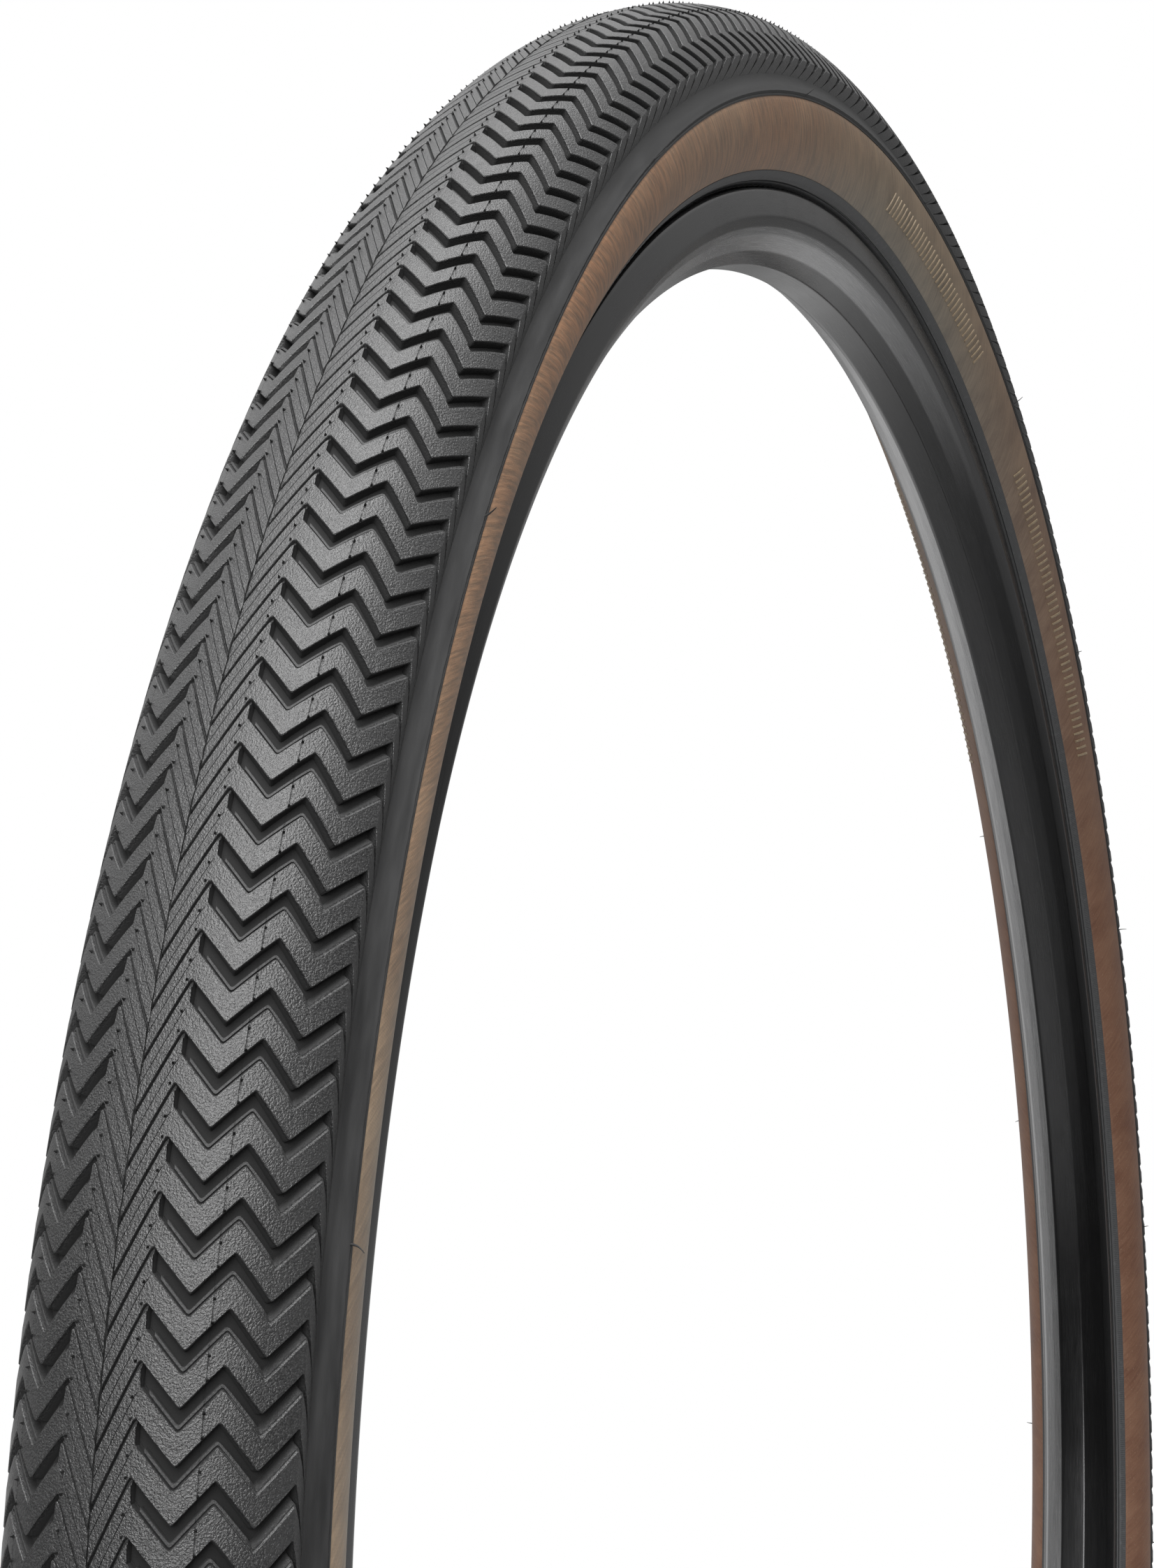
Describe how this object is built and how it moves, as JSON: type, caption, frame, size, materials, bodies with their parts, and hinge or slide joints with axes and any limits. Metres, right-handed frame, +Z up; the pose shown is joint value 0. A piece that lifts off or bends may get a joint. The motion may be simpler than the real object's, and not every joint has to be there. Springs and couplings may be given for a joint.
{
  "type": "bicycle tire",
  "caption": "Tubeless bicycle tire with a zigzag tread and tan sidewalls, mounted on a plain black double-wall rim hoop with a screw-down valve.",
  "frame": {"origin": "wheel centre: the middle of the bead seat circle, on the wheel's middle plane", "axes": "+Y along the axle towards the left side, +Z up, +X in the wheel's plane; the valve is at -Z"},
  "size_m": [0.716, 0.044, 0.716],
  "materials": {
    "tread_rubber": "matte moulded rubber",
    "tan_rubber": "thin tan rubber over cord",
    "cord_fabric": "rubberised nylon cord",
    "belt_fabric": "rubberised cut-resistant cord",
    "chafer_fabric": "rubberised woven strip",
    "aramid": "aramid fibre bundle",
    "butyl": "smooth",
    "anodised_aluminium": "brushed and black anodised",
    "bare_steel": "plain",
    "tape_film": "thin film",
    "valve_metal": "plain",
    "brass": "plain",
    "valve_rubber": "matte",
    "cap_plastic": "matte"
  },
  "bodies": {
    "root": {"tread_cap": "tread_rubber", "breaker_belt": "belt_fabric", "casing_ply": "cord_fabric", "inner_liner": "butyl", "sidewall_left": "tan_rubber", "sidewall_right": "tan_rubber", "chafer_left": "chafer_fabric", "chafer_right": "chafer_fabric", "bead_core_left": "aramid", "bead_core_right": "aramid", "rim_hoop": "anodised_aluminium", "rim_joint_pin_left": "bare_steel", "rim_joint_pin_right": "bare_steel", "rim_tape": "tape_film", "valve_grommet": "valve_rubber", "valve_stem": "valve_metal", "valve_core_body": "brass"},
    "lock_ring": {"valve_lock_ring": "valve_rubber"},
    "lock_nut": {"valve_lock_nut": "valve_metal"},
    "core_pin": {"valve_core_pin": "brass", "valve_core_seal": "valve_rubber"},
    "core_nut": {"valve_core_nut": "brass"},
    "valve_cap": {"valve_cap": "cap_plastic"}
  },
  "joints": [
    {"name": "lock_ring_travel", "type": "slide", "parent": "root", "child": "lock_ring", "axis": [0, 0, 1], "range_m": [0, 0.0079]},
    {"name": "lock_nut_turn", "type": "hinge", "parent": "lock_ring", "child": "lock_nut", "pos_m": [0, 0, -0.296], "axis": [0, 0, 1], "range_deg": [0, 3600]},
    {"name": "core_press", "type": "slide", "parent": "root", "child": "core_pin", "axis": [0, 0, -1], "range_m": [0, 0.0022], "stiffness_N_per_m": 200, "springref_m": -0.001},
    {"name": "core_nut_turn", "type": "hinge", "parent": "core_pin", "child": "core_nut", "pos_m": [0, 0, -0.2594], "axis": [0, 0, 1], "range_deg": [-1440, 0]},
    {"name": "cap_pull", "type": "slide", "parent": "root", "child": "valve_cap", "axis": [0, 0, 1], "range_m": [0, 0.02]}
  ],
  "couplings": [
    {"joint": "lock_nut_turn", "follows": "lock_ring_travel", "rad_per_m": 7854}
  ]
}
